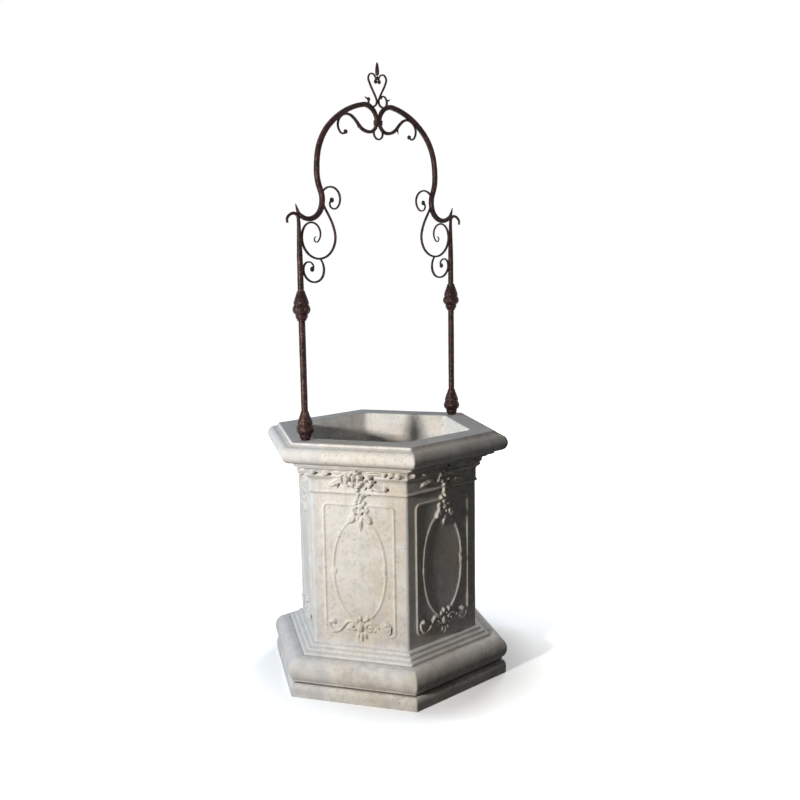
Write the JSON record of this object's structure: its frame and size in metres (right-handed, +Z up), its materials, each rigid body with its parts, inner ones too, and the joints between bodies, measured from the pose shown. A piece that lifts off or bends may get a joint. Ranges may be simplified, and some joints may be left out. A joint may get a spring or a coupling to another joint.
{
  "type": "wishing well planter",
  "caption": "Hexagonal cast-stone wishing well planter with panelled sides, a stepped base and a moulded rim, under a wrought-iron arch of scrolls that stands on opposite corners.",
  "frame": {"origin": "on the ground, under the middle of the well", "axes": "+Z up; +X from the middle towards the right-hand post, so both posts and the whole iron arch lie in the plane y = 0"},
  "size_m": [0.8914, 0.772, 2.0904],
  "materials": {
    "base_stone": "cast stone, worn and water-stained",
    "body_stone": "cast stone with fine pits and grey weathering in the carving",
    "rim_stone": "cast stone, smooth on top",
    "forged_iron": "forged bar, dark red-brown patina with satin high spots",
    "cast_iron": "cast iron, dark red-brown patina, a little rough"
  },
  "bodies": {
    "root": {"base_plinth": "base_stone", "well_body": "body_stone", "coping_ring": "rim_stone", "left_foot_knuckle": "cast_iron", "left_lower_post": "forged_iron", "left_mid_knuckle": "cast_iron", "left_upper_post": "forged_iron", "left_arch_bar": "forged_iron", "left_crown_scroll": "forged_iron", "left_side_scroll": "forged_iron", "left_lower_scroll": "forged_iron", "left_heart_half": "forged_iron", "left_crown_leaf": "forged_iron", "right_foot_knuckle": "cast_iron", "right_lower_post": "forged_iron", "right_mid_knuckle": "cast_iron", "right_upper_post": "forged_iron", "right_arch_bar": "forged_iron", "right_crown_scroll": "forged_iron", "right_side_scroll": "forged_iron", "right_lower_scroll": "forged_iron", "right_heart_half": "forged_iron", "right_crown_leaf": "forged_iron", "crown_collar": "forged_iron", "hanging_loop": "forged_iron", "spear_finial": "cast_iron"}
  },
  "joints": []
}
